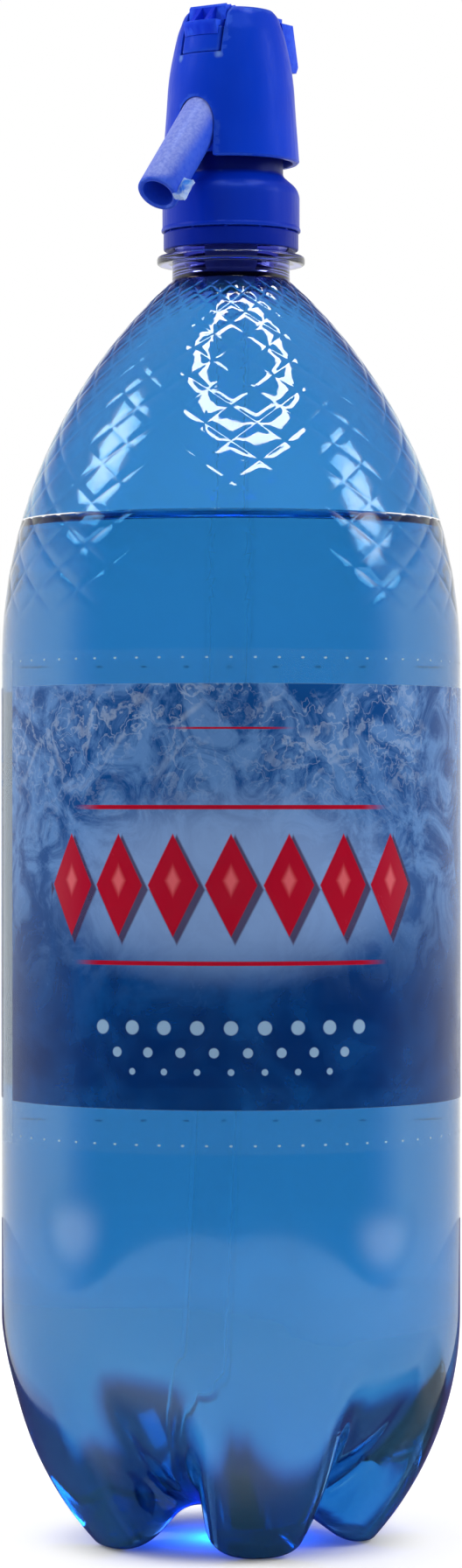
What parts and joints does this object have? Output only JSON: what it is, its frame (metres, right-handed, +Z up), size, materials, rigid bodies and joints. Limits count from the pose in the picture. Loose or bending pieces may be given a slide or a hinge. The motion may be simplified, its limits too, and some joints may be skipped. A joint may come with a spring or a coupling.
{
  "type": "soda siphon",
  "caption": "Lever-valve soda siphon head with dip tube and downward spout, screwed on a petaloid plastic bottle of carbonated water.",
  "frame": {"origin": "on the bottle's axis, in the plane that its feet stand on", "axes": "+Z up along the bottle's axis; -Y is the side of the spout; the lever bends about an axis along X"},
  "size_m": [0.1048, 0.1048, 0.3489],
  "materials": {
    "pet": "gloss",
    "water": "gloss",
    "film": "gloss",
    "tube": "satin",
    "white_plastic": "satin",
    "head_blue": "satin",
    "lever_blue": "satin",
    "spout_blue": "satin",
    "seal_rubber": "matte",
    "spring_steel": "satin"
  },
  "bodies": {
    "siphon": {"bottle": "pet", "soda_water": "water", "label_wrap": "film", "dip_tube": "tube", "tube_socket": "white_plastic", "screw_collar": "head_blue", "tamper_band": "head_blue", "neck_gasket": "seal_rubber", "valve_body": "white_plastic", "valve_seat": "white_plastic", "seat_ring": "seal_rubber", "return_spring": "spring_steel", "stem_ring": "seal_rubber", "stem_guide": "white_plastic", "spout": "spout_blue", "head_shell": "head_blue"},
    "lever": {"thumb_lever": "lever_blue", "hinge_tongue": "head_blue"},
    "valve": {"valve_stem": "white_plastic", "poppet_washer": "seal_rubber", "washer_retainer": "white_plastic"}
  },
  "joints": [
    {"name": "lever_press", "type": "hinge", "parent": "siphon", "child": "lever", "pos_m": [0, -0.0127, 0.3375], "axis": [-1, 0, 0], "range_deg": [0, 6.5], "stiffness_Nm_per_rad": 0.12, "springref_deg": -3.44},
    {"name": "valve_slide", "type": "slide", "parent": "siphon", "child": "valve", "axis": [0, 0, -1], "range_m": [0, 0.0016], "deforming": ["return_spring"]}
  ],
  "couplings": [
    {"joint": "valve_slide", "follows": "lever_press", "m_per_rad": 0.0127}
  ]
}
